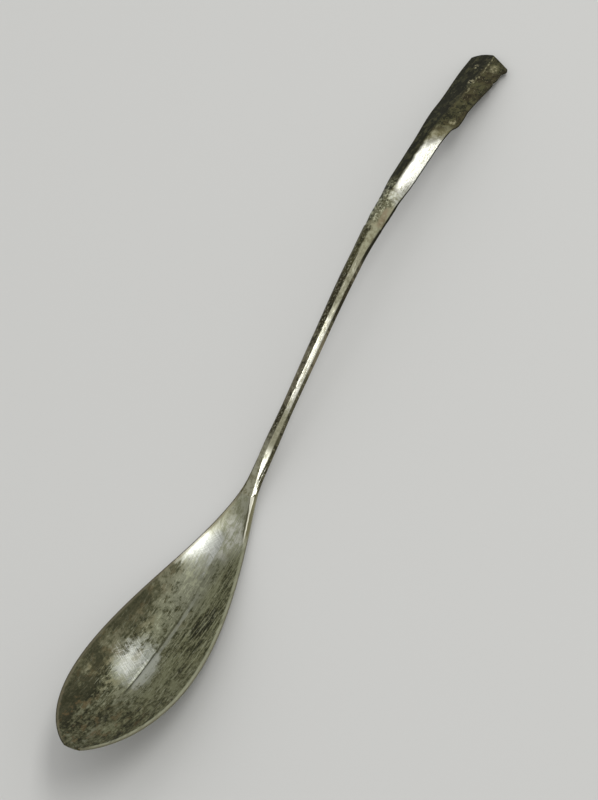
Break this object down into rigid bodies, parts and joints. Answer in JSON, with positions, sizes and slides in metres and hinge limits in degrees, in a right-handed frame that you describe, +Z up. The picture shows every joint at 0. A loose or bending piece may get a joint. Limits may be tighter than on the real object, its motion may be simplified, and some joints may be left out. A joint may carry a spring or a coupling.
{
  "type": "spoon",
  "caption": "Hand-wrought silver spoon with a pointed leaf-shaped bowl, a slender forged stem, an old soldered mend and a flattened, flared blade with a chipped end",
  "frame": {"origin": "middle of the small flat worn under the back of the bowl, which stands on z = 0", "axes": "+X along the spoon from the bowl towards the blade, +Y across it, +Z up, as the spoon lies at rest"},
  "size_m": [0.2263, 0.0276, 0.0191],
  "materials": {
    "bowl_silver": "hammered silver, mottled olive-grey tarnish over bright streaks",
    "stem_silver": "worn silver, burnished along its top, dark in the pits",
    "old_solder": "crusty grey-green corroded solder, matte",
    "blade_silver": "silver under a dark olive-brown patina with bare scratches"
  },
  "bodies": {
    "root": {"bowl": "bowl_silver", "stem": "stem_silver", "mend_solder": "old_solder", "blade": "blade_silver"}
  },
  "joints": []
}
